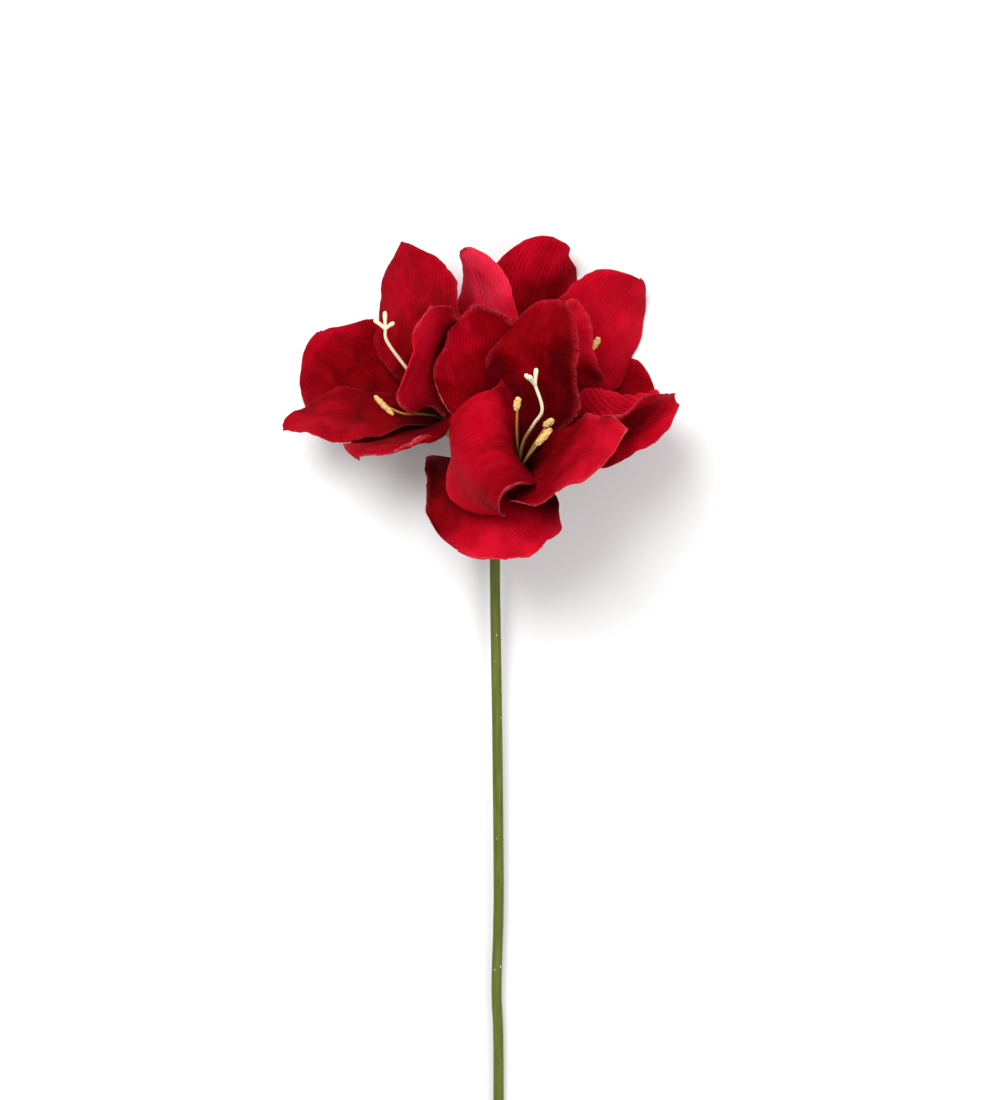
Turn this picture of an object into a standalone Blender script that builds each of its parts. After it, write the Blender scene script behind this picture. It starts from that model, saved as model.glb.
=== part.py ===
"""An artificial amaryllis stem with three open blooms, lying on its back.

The stalk lies along Y with its cut end at low Y, and the blooms look up, towards +Z. Each bloom has
a short pedicel that swells into a seat, two rings of three petals, three stamens moulded on one
ring-shaped foot, and a pistil with a three-lobed stigma. Sizes are in millimetres and angles in
degrees until a mesh is made. Places are measured in the head's frame, which has its zero near the
middle of the flowers, X to the right and Y up the stalk; HOME is the point of it that becomes the
part's origin, on the floor under the middle of the part.
"""
import math
from dataclasses import dataclass

import bmesh
import bpy
import numpy as np
from mathutils import Matrix, Vector

MM = 0.001

# Where the part lies
FLOOR = -46.0
HOME = (-13.08, -113.63, FLOOR)
UP_THE_STALK = Vector((0.0, 1.0, 0.0))

# Stalk and pedicels
STALK_RADIUS = 3.25
STALK_TOP_RADIUS = 5.4
STALK_TOP = Vector((-2.5, 28.0, -28.0))
STALK_BENDS = ((0, 0.0), (43, -0.7), (140, 0.7), (230, 1.6), (265, 1.4), (308, 0.3), (345, 1.5), (453, 1.5))
STALK_LENGTH = 453.0
STALK_FLARE_LENGTH = 14.0
STALK_POINTS = 25
PEDICEL_RADIUS = 2.0
PEDICEL_SPREAD = 2.8
PEDICEL_POINTS = 15
PEDICEL_END_PULL = 16.0
PEDICEL_START_PULL = 9.0
PEDICEL_STRAIGHT = 1.5
SEAT_RADIUS = 7.6
SEAT_GAP = 0.3
SWELL_FROM = 0.55
STALK_ROUNDNESS = 4

# Petals: their thickness, and how they lie on the floor
THICKNESS = 0.8
STEEP = 0.43
PRESS_REACH = 3.0

# Petals: the run of the middle line, from the claw on its ring to the tip
RING_RADIUS = {"inner": 4.2, "outer": 6.0}
BASE_LEAN = 14.0
LEAN_PLACES = (0.0, 0.33, 0.66, 1.0)
SWERVE_POWER = 1.5
TWIST_POWER = 1.3

# Petals: the outline, wide past the claw and rounded off at the tip
CLAW_WIDTH = {"inner": 6.0, "outer": 7.0}
CLAW_FADES_FROM = 0.6
RISE_POWER = 1.6
FALL_POWER = 2.2
TIP_SHARE = 0.05
TUBE_SHARE = 0.72
TUBE_FREEDOM = 60.0

# Petals: the curl across, first as part of the throat's tube and then the blade's own
OPENS_FROM = 0.12
OPENS_OVER = 0.33
TUBE_MOST_CURL = 0.85
TIP_CURL_FROM = 0.45
TIGHTEST_CURL_RADIUS = 3.0
MARGIN_FROM = 0.45
MARGIN_POWER = 1.5
MARGIN_PLACE = 0.65
MARGIN_SPREAD = 0.28

# Petals: the crease at the midrib and the ruffled edge
LOOSE_FROM = 0.3
LOOSE_OVER = 0.25
CREASE_DEPTH = 0.9
CREASE_WIDTH = 5.0
RUFFLE = 2.0
RUFFLES = 2.6
SCALLOP = 1.2
SCALLOPS = 2.4

# Uneven waves: the pace and the height of each part of one, and how a seed shifts them
WAVE_PARTS = ((1.0, 0.5), (1.73, 0.3), (2.91, 0.2))
WAVE_SEED_SHIFT = 1.7
WAVE_PART_SHIFT = 2.3

# Petals: points kept in each direction, and finer steps summed between them
ROWS = 17
COLUMNS = 9
FINE_ROWS = 3
FINE_COLUMNS = 2

# Stamens and pistils
FOOT_RADIUS = 2.2
FOOT_THICKNESS = 0.75
FILAMENT_RADIUS = 0.9
ANTHER_RADIUS = 2.0
STYLE_RADIUS = 1.05
STIGMA_RADIUS = 1.3
STIGMA_OVERLAP = 0.3
THREAD_POINTS = 11
THREAD_ROUNDNESS = 2

# Colours, as linear red, green and blue
PETAL_RED = (0.43, 0.003, 0.012)
STALK_GREEN = (0.127, 0.165, 0.02)
PEDICEL_GREEN = (0.16, 0.21, 0.04)
ANTHER_YELLOW = (0.45, 0.2, 0.02)
PISTIL_CREAM = (0.8, 0.76, 0.48)
PETAL_ROUGHNESS = 0.75
GREEN_ROUGHNESS = 0.55
THREAD_ROUGHNESS = 0.5


@dataclass
class Petal:
    """One petal's design, in millimetres and degrees.

    turn: where it grows round the seat, anticlockwise as seen from the bloom's front.
    lean: its angle from the bloom's axis at a third, at two thirds and at its tip.
    swerve, twist: how far its tip has bent sideways, and turned about its own length.
    cup: how far each half curls inward across, at its middle and at its tip.
    margins: extra curl of the clockwise and of the anticlockwise margin.
    blunt: lower is a broader tip. widest: where along it the petal is widest, from 0 to 1.
    lobes: bulges of a margin, each with its side (-1 clockwise), place along, size and reach.
    lift: how far above the floor it is held, where it lies on another petal.
    """

    name: str
    ring: str
    turn: float
    length: float
    width: float
    lean: tuple
    swerve: float = 0.0
    twist: float = 0.0
    cup: tuple = (15.0, 0.0)
    margins: tuple = (0.0, 0.0)
    blunt: float = 0.72
    widest: float = 0.58
    lobes: tuple = ()
    lift: float = 0.0


@dataclass
class Stamen:
    """A filament that leaves the foot at a turn and runs by some points to an anther.

    The anther lies across the filament's end, from one point to another.
    """

    turn: float
    by: tuple
    anther: tuple


@dataclass
class Bloom:
    """A bloom: its seat in the head's frame, the way it faces, and what grows on it."""

    name: str
    seat: tuple
    facing: tuple
    pedicel_turn: float
    petals: tuple
    stamens: tuple
    style: tuple
    stigma: tuple


FRONT = Bloom(
    name="front",
    seat=(13, 46, 29),
    facing=(-0.10, 0.47, 0.88),
    pedicel_turn=90,
    petals=(
        Petal("top", "inner", 80, 110, 63, (58, 52, 89), -17, -17, (44, 21), (17, -3),
              blunt=0.73, widest=0.6, lobes=((-1, 0.39, 11.0, 0.14), (1, 0.5, 1.0, 0.15))),
        Petal("back_left", "outer", 108, 106, 54, (72, 49, 75), 2, -16, (11, -6), (2, -40),
              blunt=0.76, widest=0.62, lobes=((1, 0.54, 14.0, 0.21),)),
        Petal("lip", "inner", 190, 105, 74, (18, 135, 121), 36, 13, (15, -43), (-15, -51),
              blunt=0.43, widest=0.53, lobes=((-1, 0.28, 16.0, 0.12), (1, 0.7, 9.0, 0.3))),
        Petal("bottom", "outer", 232, 61, 96, (101, 108, 112), 3, 24, (-23, 2), (15, 42),
              blunt=0.48, widest=0.61, lobes=((-1, 0.4, 24.0, 0.14), (1, 0.2, 36.0, 0.16))),
        Petal("right", "inner", 328, 110, 63, (39, 45, 62), 46, -18, (-7, 5), (9, -6),
              blunt=0.71, widest=0.49, lobes=((-1, 0.31, 11.0, 0.15), (1, 0.37, 5.0, 0.16))),
        Petal("back_right", "outer", 30, 104, 49, (85, 109, 75), 11, -49, (75, 31), (11, -6)),
    ),
    stamens=(
        Stamen(100, ((0, 4, 20), (1, 8, 42)), ((2, 11, 60), (4, 16, 67))),
        Stamen(-20, ((3, -1, 15), (11, -1, 38)), ((19, 2, 56), (25, 4, 61))),
        Stamen(-80, ((2, -3, 15), (8, -7, 36)), ((15, -10, 55), (24, -3, 62))),
    ),
    style=((0, 0, 0), (1, 1.5, 18), (5, 4, 36), (12, 8, 49), (18, 11, 62), (14, 20, 80)),
    stigma=((9, 22, 84), (16, 25, 86), (12, 19, 87)),
)
LEFT = Bloom(
    name="left",
    seat=(-33, 81, -12),
    facing=(-0.575, 0.572, 0.585),
    pedicel_turn=210,
    petals=(
        Petal("top", "inner", 107, 115, 75, (48, 51, 45), -5, -14, (14, -30), (-13, -4)),
        Petal("back", "outer", 175, 105, 80, (67, 47, 72), -39, 7, (11, -22), (-9, -2),
              blunt=0.57, widest=0.6, lobes=((-1, 0.51, -5.0, 0.18),)),
        Petal("tip", "inner", 218, 103, 54, (48, 54, 77), 3, 7, (6, 5), (11, -20), blunt=0.76),
        Petal("bottom", "outer", 279, 87, 66, (54, 44, 78), 2, -16, (2, -20), (1, -24),
              blunt=0.74, widest=0.52, lobes=((-1, 0.49, 7.0, 0.16),)),
        Petal("near", "inner", 8, 112, 66, (21, 43, 28), 11, -31, (2, -5), (-10, -13),
              blunt=0.74, widest=0.54, lobes=((-1, 0.79, -7.0, 0.1),)),
        Petal("crown", "outer", 67, 114, 71, (77, 39, 28), 11, -2, (2, -31), (-8, -16),
              lobes=((1, 0.34, -8.0, 0.21),)),
    ),
    stamens=(
        Stamen(-90, ((1, -4, 10), (4, -14, 26), (8, -24, 40)), ((4, -27, 62), (9, -30, 47))),
        Stamen(150, ((-1, 2.5, 16), (1, 2.5, 29)), ((2, 1.5, 39), (2, 4, 46))),
        Stamen(40, ((3, 4.5, 16), (5, 6, 31)), ((8, 8, 44), (10, 11, 49))),
    ),
    style=((0, 0, 0), (3, 0, 15), (8, -2, 35), (12, -2, 54), (10, 3, 77), (12, 8, 85)),
    stigma=((12, 16, 91), (17, 12, 84), (7, 9, 92)),
)
RIGHT = Bloom(
    name="right",
    seat=(17, 87, -35),
    facing=(0.644, 0.377, 0.665),
    pedicel_turn=330,
    petals=(
        Petal("near", "inner", 135, 96, 45, (12, 41, 25), -35, -19, (89, -17), (8, 5),
              blunt=0.68, widest=0.52, lobes=((-1, 0.42, 13.0, 0.08),)),
        Petal("top", "inner", 50, 111, 78, (34, 52, 29), 5, 22, (13, -28), (-26, -5),
              blunt=0.5, widest=0.62, lift=1.5),
        Petal("crown", "outer", 98, 110, 76, (68, 54, 44), -26, -6, (14, -35), (-4, -9),
              blunt=0.57, widest=0.59, lobes=((1, 0.57, -3.0, 0.14),)),
        Petal("back", "outer", -7, 81, 47, (55, 41, 71), -26, -20, (48, 37), (39, 10),
              blunt=0.64, widest=0.56, lobes=((-1, 0.58, -8.0, 0.16), (1, 0.82, 13.0, 0.14))),
        Petal("side", "inner", 288, 117, 69, (34, 17, -10), 21, 18, (6, -21), (-24, -7),
              lobes=((-1, 0.45, 7.0, 0.25),)),
        Petal("inner", "outer", 237, 77, 58, (55, 53, 49), 0, 0, (25, 8), (0, 0)),
    ),
    stamens=(
        Stamen(10, ((4.5, 2, 13), (10, 2, 22), (14.5, 5.5, 33), (15, 14, 46)), ((15, 20, 55), (16.5, 25, 62))),
        Stamen(80, ((1.5, 2, 14), (2.5, 2, 24)), ((3, 2, 34), (3.5, 3, 41))),
        Stamen(-140, ((-4, -4, 13), (-5, -5, 23)), ((-6, -4, 32), (-5, -1, 38))),
    ),
    style=((0, 0, 0), (1, -1, 13), (3, -3, 25), (5, -6, 35)),
    stigma=((3, -9, 39), (8, -8, 38), (6, -4, 40)),
)
BLOOMS = (FRONT, LEFT, RIGHT)


def share_past(values, start, span):
    """How far the values have gone from a start over a span, from 0 to 1."""
    return np.clip((values - start) / span, 0.0, 1.0)


def smooth_step(values):
    """Eases from 0 to 1 as the values go from 0 to 1, and stays flat outside."""
    clipped = np.clip(values, 0.0, 1.0)
    return clipped * clipped * (3.0 - 2.0 * clipped)


def hump(values, place, spread):
    """A smooth rise to 1 and back round a place."""
    return np.exp(-(((values - place) / spread) ** 2))


def wave(values, seed, turns):
    """A smooth uneven wave from -1 to 1, with about so many turns as the values go from 0 to 1."""
    total = np.zeros_like(values)
    for number, (pace, height) in enumerate(WAVE_PARTS):
        shift = (WAVE_SEED_SHIFT + WAVE_PART_SHIFT * number) * seed
        total += height * np.sin(2 * math.pi * turns * pace * values + shift)
    return total


def running_sum(steps, axis):
    """Sums the steps along one axis, starting from zero."""
    first = np.zeros_like(np.take(steps, [0], axis=axis))
    return np.concatenate([first, np.cumsum(steps, axis=axis)], axis=axis)


def petal_midline(petal, along):
    """The petal's middle line with its sideways and inward directions, in the bloom's frame."""
    turn = math.radians(petal.turn)
    axis = np.array([0.0, 0.0, 1.0])
    outward = np.array([math.cos(turn), math.sin(turn), 0.0])
    sideways = np.cross(axis, outward)
    leaning = np.polyfit(LEAN_PLACES, (BASE_LEAN, *petal.lean), 3)
    lean = np.radians(np.polyval(leaning, along))[:, None]
    swerve = (math.radians(petal.swerve) * along**SWERVE_POWER)[:, None]
    twist = (math.radians(petal.twist) * along**TWIST_POWER)[:, None]
    away = np.cos(swerve) * outward + np.sin(swerve) * sideways
    across = -np.sin(swerve) * outward + np.cos(swerve) * sideways
    forward = np.cos(lean) * axis + np.sin(lean) * away
    inward = np.cross(forward, across)
    steps = 0.5 * (forward[1:] + forward[:-1]) * (petal.length * np.diff(along)[:, None])
    middle = RING_RADIUS[petal.ring] * outward + running_sum(steps, 0)
    turned_across = np.cos(twist) * across + np.sin(twist) * inward
    turned_inward = -np.sin(twist) * across + np.cos(twist) * inward
    return middle, turned_across, turned_inward


def petal_half_width(petal, along, radius):
    """Half of the blade's width along it: a claw, its widest part, and a tip that rounds off."""
    claw = CLAW_WIDTH[petal.ring]
    rise = np.sin(0.5 * math.pi * share_past(along, 0.0, petal.widest)) ** RISE_POWER
    past = share_past(along, petal.widest, 1.0 - petal.widest)
    fall = (1.0 - past**FALL_POWER) ** petal.blunt
    width = claw + (petal.width - claw) * np.where(along < petal.widest, rise, fall)
    width -= claw * share_past(along, CLAW_FADES_FROM, 1.0 - CLAW_FADES_FROM)
    width = np.maximum(width, TIP_SHARE * petal.width)
    opened = smooth_step((along - OPENS_FROM) / OPENS_OVER)
    return np.minimum(0.5 * width, TUBE_SHARE * radius + TUBE_FREEDOM * opened**2)


def petal_surface(petal):
    """Points on the petal's outer face, in rows from its claw to its tip, in the bloom's frame.

    Near its claw the blade wraps round the bloom's axis, as part of the throat's tube. Further up
    it opens into its own curl across, with a crease at its midrib and a gently ruffled edge.
    """
    along = np.linspace(0, 1, (ROWS - 1) * FINE_ROWS + 1)
    out = np.linspace(0, 1, (COLUMNS - 1) // 2 * FINE_COLUMNS + 1)
    middle, across, inward = petal_midline(petal, along)
    radius = np.hypot(middle[:, 0], middle[:, 1])
    half = petal_half_width(petal, along, radius)
    opened = smooth_step((along - OPENS_FROM) / OPENS_OVER)
    to_tip = share_past(along, TIP_CURL_FROM, 1.0 - TIP_CURL_FROM)
    own_curl = np.radians(petal.cup[0] + (petal.cup[1] - petal.cup[0]) * to_tip)
    curl = np.minimum(half / radius, TUBE_MOST_CURL) * (1 - opened) + own_curl * opened
    curl = np.clip(curl, -half / TIGHTEST_CURL_RADIUS, half / TIGHTEST_CURL_RADIUS)
    margin_along = hump(along, MARGIN_PLACE, MARGIN_SPREAD)[:, None]
    margin_out = share_past(out, MARGIN_FROM, 1.0 - MARGIN_FROM) ** MARGIN_POWER
    loose = share_past(along, LOOSE_FROM, LOOSE_OVER)[:, None]
    halves = []
    for side, margin in zip((-1, 1), petal.margins):
        reach = half.copy()
        for lobe_side, place, size, spread in petal.lobes:
            if lobe_side == side:
                reach += size * hump(along, place, spread)
        reach += SCALLOP * loose[:, 0] * wave(along, petal.turn + side, SCALLOPS)
        angle = curl[:, None] * out + math.radians(margin) * margin_along * margin_out
        angle = 0.5 * (angle[:, 1:] + angle[:, :-1])
        step = reach[:, None] / (len(out) - 1)
        sidewards = running_sum(np.cos(angle) * step, 1)
        depth = running_sum(np.sin(angle) * step, 1)
        phase = math.radians(3 * petal.turn) + side
        depth += RUFFLE * loose * out**2 * np.sin(2 * math.pi * RUFFLES * along + phase)[:, None]
        depth -= CREASE_DEPTH * loose * hump(out * reach[:, None], 0.0, CREASE_WIDTH)
        points = middle[:, None] + side * sidewards[..., None] * across[:, None]
        halves.append(points + depth[..., None] * inward[:, None])
    surface = np.concatenate([halves[0][:, :0:-1], halves[1]], axis=1)
    return surface[::FINE_ROWS, ::FINE_COLUMNS]


def kept_above_floor(surface, place, lift):
    """Presses what would reach through the floor flat against it, for either face of the blade."""
    turn = np.array(place.to_3x3())
    world = surface @ turn.T + np.array(place.translation)
    inward = unit_rows(np.cross(np.gradient(world, axis=0), np.gradient(world, axis=1)))
    inner_drop = THICKNESS * np.clip(STEEP - inward[..., 2], 0.0, 1.0)
    inner_drop += lift
    height = world[..., 2] - inner_drop
    easing = np.clip(height + PRESS_REACH, 0.0, None) ** 2 / (4 * PRESS_REACH)
    world[..., 2] = inner_drop + np.where(height < PRESS_REACH, easing, height)
    return (world - np.array(place.translation)) @ turn


def unit_rows(vectors):
    """Each vector of an array made one long."""
    return vectors / np.maximum(np.linalg.norm(vectors, axis=-1, keepdims=True), 1e-9)


def bloom_place(bloom):
    """Where the bloom's frame stands: Z the way it faces, Y as far up the stalk as that allows."""
    facing = Vector(bloom.facing).normalized()
    upward = (UP_THE_STALK - UP_THE_STALK.dot(facing) * facing).normalized()
    right = upward.cross(facing)
    place = Matrix((right, upward, facing)).transposed().to_4x4()
    place.translation = Vector(bloom.seat) - Vector(HOME)
    return place


def in_metres(place):
    """The same place with its distance in metres."""
    scaled = place.copy()
    scaled.translation = place.translation * MM
    return scaled


def material(name, colour, roughness):
    """A plain material with the part's colour."""
    made = bpy.data.materials.new(name)
    made.use_nodes = True
    shader = made.node_tree.nodes["Principled BSDF"]
    shader.inputs["Base Color"].default_value = (*colour, 1.0)
    shader.inputs["Roughness"].default_value = roughness
    shader.inputs["Metallic"].default_value = 0.0
    return made


def add_object(name, data, collection, parent=None):
    """Puts data in the scene as a named object."""
    thing = bpy.data.objects.new(name, data)
    collection.objects.link(thing)
    thing.parent = parent
    return thing


def add_petal(bloom, petal, frame, place, collection):
    """A petal: a grid moved onto its surface, split into triangles, then thickened inward."""
    surface = kept_above_floor(petal_surface(petal), place, petal.lift)
    bm = bmesh.new()
    bmesh.ops.create_grid(bm, x_segments=COLUMNS - 1, y_segments=ROWS - 1, size=1.0)
    for vertex in bm.verts:
        column = round(0.5 * (vertex.co.x + 1.0) * (COLUMNS - 1))
        row = round(0.5 * (vertex.co.y + 1.0) * (ROWS - 1))
        vertex.co = Vector(surface[row, column]) * MM
    bmesh.ops.triangulate(bm, faces=bm.faces)
    name = f"petal_{bloom.name}_{petal.name}"
    mesh = bpy.data.meshes.new(name)
    bm.to_mesh(mesh)
    bm.free()
    mesh.shade_smooth()
    mesh.materials.append(material(name, PETAL_RED, PETAL_ROUGHNESS))
    blade = add_object(name, mesh, collection, frame)
    solid = blade.modifiers.new("thickness", "SOLIDIFY")
    solid.thickness = THICKNESS * MM
    solid.offset = -1.0
    return blade


def tube(name, points, radii, roundness, collection):
    """A round tube through the points, with a radius for each and closed ends."""
    curve = bpy.data.curves.new(name, "CURVE")
    curve.dimensions = "3D"
    curve.bevel_depth = MM
    curve.bevel_resolution = roundness
    curve.resolution_u = 1
    curve.use_fill_caps = True
    spline = curve.splines.new("POLY")
    spline.points.add(len(points) - 1)
    for point, place, radius in zip(spline.points, points, radii):
        point.co = (*(Vector(place) * MM), 1.0)
        point.radius = radius
    return add_object(name, curve, collection)


def bezier(controls, count):
    """Points along the Bezier curve that the controls pull."""
    degree = len(controls) - 1
    points = []
    for share in np.linspace(0, 1, count):
        weights = [math.comb(degree, k) * share**k * (1 - share) ** (degree - k) for k in range(degree + 1)]
        points.append(sum((Vector(c) * w for c, w in zip(controls, weights)), Vector()))
    return points


def through(knots, count):
    """Points on a smooth curve through the knots."""
    knots = [np.array(knot, float) for knot in knots]
    padded = [2 * knots[0] - knots[1], *knots, 2 * knots[-1] - knots[-2]]
    points = []
    for share in np.linspace(0, len(knots) - 1, count):
        span = min(int(share), len(knots) - 2)
        t = share - span
        a, b, c, d = padded[span : span + 4]
        bend = (2 * a - 5 * b + 4 * c - d) * t + (3 * b - a - 3 * c + d) * t * t
        points.append(Vector(b + 0.5 * t * (c - a + bend)))
    return points


def add_stalk(collection):
    """The stalk: from the cut end on the floor up to a flared top under the pedicels."""
    drop = (STALK_TOP.z - FLOOR - STALK_RADIUS) / STALK_LENGTH
    bends = [STALK_TOP + Vector((aside, -down, -drop * down)) for down, aside in reversed(STALK_BENDS)]
    points = []
    radii = []
    for point in through(bends, STALK_POINTS):
        above = (point.y - STALK_TOP.y) / STALK_FLARE_LENGTH
        points.append(point - Vector(HOME))
        radii.append(STALK_RADIUS + (STALK_TOP_RADIUS - STALK_RADIUS) * smooth_step(1 + above))
    stalk = tube("stem", points, radii, STALK_ROUNDNESS, collection)
    stalk.data.materials.append(material("stem", STALK_GREEN, GREEN_ROUGHNESS))


def add_pedicel(bloom, place, collection):
    """The bloom's own short stalk, from the stalk's top to the seat that carries the petals."""
    turn = math.radians(bloom.pedicel_turn)
    start = STALK_TOP - Vector(HOME) + UP_THE_STALK * SEAT_GAP
    start += PEDICEL_SPREAD * Vector((math.cos(turn), 0.0, math.sin(turn)))
    facing = place.to_3x3() @ Vector((0, 0, 1))
    end = place.translation - SEAT_GAP * facing
    bend_from = start + PEDICEL_STRAIGHT * UP_THE_STALK
    bend_to = end - PEDICEL_STRAIGHT * facing
    pulls = (bend_from + PEDICEL_START_PULL * UP_THE_STALK, bend_to - PEDICEL_END_PULL * facing)
    points = [start, *bezier((bend_from, *pulls, bend_to), PEDICEL_POINTS), end]
    radii = []
    for share in np.linspace(0, 1, PEDICEL_POINTS):
        swell = smooth_step((share - SWELL_FROM) / (1 - SWELL_FROM))
        radii.append(PEDICEL_RADIUS + (SEAT_RADIUS - PEDICEL_RADIUS) * swell)
    radii = [radii[0], *radii, radii[-1]]
    name = f"pedicel_{bloom.name}"
    pedicel = tube(name, points, radii, STALK_ROUNDNESS, collection)
    pedicel.data.materials.append(material(name, PEDICEL_GREEN, GREEN_ROUGHNESS))


def as_mesh(thing):
    """Swaps a curve object for a closed mesh object of the same shape."""
    evaluated = thing.evaluated_get(bpy.context.evaluated_depsgraph_get())
    mesh = bpy.data.meshes.new_from_object(evaluated)
    bm = bmesh.new()
    bm.from_mesh(mesh)
    bmesh.ops.remove_doubles(bm, verts=bm.verts, dist=1e-6)
    bm.to_mesh(mesh)
    bm.free()
    swapped = add_object(thing.name, mesh, thing.users_collection[0])
    swapped.matrix_world = thing.matrix_world
    bpy.data.objects.remove(thing)
    return swapped


def fused(name, pieces, frame, collection):
    """Joins overlapping pieces into the one solid that a moulding is."""
    whole = pieces[0]
    for piece in pieces[1:]:
        join = whole.modifiers.new("join", "BOOLEAN")
        join.operation = "UNION"
        join.object = piece
    bpy.context.view_layer.update()
    evaluated = whole.evaluated_get(bpy.context.evaluated_depsgraph_get())
    mesh = bpy.data.meshes.new_from_object(evaluated)
    for piece in pieces:
        bpy.data.objects.remove(piece)
    mesh.name = name
    mesh.materials.clear()
    return add_object(name, mesh, collection, frame)


def ellipsoid(start, end, radius, collection):
    """A long rounded body from one point to the other."""
    start = Vector(start)
    length = Vector(end) - start
    bm = bmesh.new()
    bmesh.ops.create_uvsphere(bm, u_segments=8, v_segments=6, radius=1.0)
    mesh = bpy.data.meshes.new("body")
    bm.to_mesh(mesh)
    bm.free()
    turn = length.to_track_quat("Z", "Y").to_matrix().to_4x4()
    size = Matrix.Diagonal((radius, radius, 0.5 * length.length, 1.0))
    mesh.transform(Matrix.Scale(MM, 4) @ Matrix.Translation(start + 0.5 * length) @ turn @ size)
    return add_object("body", mesh, collection)


def add_stamens(bloom, frame, collection):
    """The bloom's stamens: filaments that rise from a ring-shaped foot and carry anthers."""
    bpy.ops.mesh.primitive_torus_add(
        major_radius=FOOT_RADIUS * MM,
        minor_radius=FOOT_THICKNESS * MM,
        major_segments=12,
        minor_segments=6,
        location=(0, 0, FOOT_THICKNESS * MM),
    )
    foot = bpy.context.object
    foot.data.transform(foot.matrix_world)
    foot.location = (0, 0, 0)
    foot.users_collection[0].objects.unlink(foot)
    collection.objects.link(foot)
    pieces = [foot]
    for stamen in bloom.stamens:
        turn = math.radians(stamen.turn)
        start = (FOOT_RADIUS * math.cos(turn), FOOT_RADIUS * math.sin(turn), FOOT_THICKNESS)
        near, far = (Vector(point) for point in stamen.anther)
        points = through((start, *stamen.by, near.lerp(far, 0.5)), THREAD_POINTS)
        radii = [FILAMENT_RADIUS] * THREAD_POINTS
        filament = tube("filament", points, radii, THREAD_ROUNDNESS, collection)
        pieces.append(as_mesh(filament))
        pieces.append(ellipsoid(near, far, ANTHER_RADIUS, collection))
    name = f"stamens_{bloom.name}"
    stamens = fused(name, pieces, frame, collection)
    stamens.data.materials.append(material(name, ANTHER_YELLOW, THREAD_ROUGHNESS))


def add_pistil(bloom, frame, collection):
    """The bloom's pistil: a style that curves out of the throat to a three-lobed stigma."""
    points = through(bloom.style, THREAD_POINTS)
    radii = [STYLE_RADIUS] * THREAD_POINTS
    style = tube("style", points, radii, THREAD_ROUNDNESS, collection)
    pieces = [as_mesh(style)]
    lobes_meet = points[-1].lerp(points[-2], STIGMA_OVERLAP)
    for lobe in bloom.stigma:
        pieces.append(ellipsoid(lobes_meet, lobe, STIGMA_RADIUS, collection))
    name = f"pistil_{bloom.name}"
    pistil = fused(name, pieces, frame, collection)
    pistil.data.materials.append(material(name, PISTIL_CREAM, THREAD_ROUGHNESS))


def add_bloom(bloom, collection):
    """Everything that belongs to one bloom, held by an empty at its seat."""
    place = bloom_place(bloom)
    frame = add_object(f"bloom_{bloom.name}", None, collection)
    frame.empty_display_size = 10 * MM
    frame.matrix_world = in_metres(place)
    for petal in bloom.petals:
        add_petal(bloom, petal, frame, place, collection)
    add_stamens(bloom, frame, collection)
    add_pistil(bloom, frame, collection)
    add_pedicel(bloom, place, collection)


def main():
    """Clears the scene and builds the stem."""
    for thing in list(bpy.data.objects):
        bpy.data.objects.remove(thing)
    collection = bpy.data.collections.new("amaryllis_stem")
    bpy.context.scene.collection.children.link(collection)
    add_stalk(collection)
    for bloom in BLOOMS:
        add_bloom(bloom, collection)


main()
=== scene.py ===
"""The looks of an artificial amaryllis stem that lies on its back, seen from straight above.

Each petal, stalk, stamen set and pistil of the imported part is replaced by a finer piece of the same
form. Lengths are in millimetres and angles in degrees until a mesh is made. Places are measured in
the head's frame, with X to the right, Y up the stalk and Z towards the viewer; HOME is the point of
it that is the part's origin on the floor.
"""
import math
from dataclasses import dataclass
from functools import partial

import bpy
import numpy as np
from mathutils import Matrix, Vector


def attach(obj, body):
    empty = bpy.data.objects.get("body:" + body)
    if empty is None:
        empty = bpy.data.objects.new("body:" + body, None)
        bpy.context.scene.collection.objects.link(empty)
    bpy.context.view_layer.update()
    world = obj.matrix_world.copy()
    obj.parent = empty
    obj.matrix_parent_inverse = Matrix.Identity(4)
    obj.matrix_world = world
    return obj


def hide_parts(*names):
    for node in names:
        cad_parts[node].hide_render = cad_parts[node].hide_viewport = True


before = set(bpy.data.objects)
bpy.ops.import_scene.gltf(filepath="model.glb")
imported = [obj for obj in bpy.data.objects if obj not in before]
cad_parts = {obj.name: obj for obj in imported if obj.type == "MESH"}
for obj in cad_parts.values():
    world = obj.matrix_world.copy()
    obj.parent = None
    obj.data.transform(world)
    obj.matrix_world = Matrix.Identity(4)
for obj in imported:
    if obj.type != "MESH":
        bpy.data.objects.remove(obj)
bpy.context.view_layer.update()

MM = 0.001

# Where the part lies
FLOOR = -46.0
HOME = (-13.08, -113.63, FLOOR)
FLOOR_GAP = 0.02
UP_THE_STALK = Vector((0.0, 1.0, 0.0))

# Stalk and pedicels, as in the solids
STALK_RADIUS = 3.25
STALK_TOP_RADIUS = 5.4
STALK_TOP = Vector((-2.5, 28.0, -28.0))
STALK_BENDS = ((0, 0.0), (43, -0.7), (140, 0.7), (230, 1.6), (265, 1.4), (308, 0.3), (345, 1.5), (453, 1.5))
STALK_LENGTH = 453.0
STALK_FLARE_LENGTH = 14.0
PEDICEL_RADIUS = 2.0
PEDICEL_SPREAD = 2.8
PEDICEL_END_PULL = 16.0
PEDICEL_START_PULL = 9.0
PEDICEL_STRAIGHT = 1.5
SEAT_RADIUS = 7.6
SEAT_GAP = 0.3
SWELL_FROM = 0.55

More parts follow.
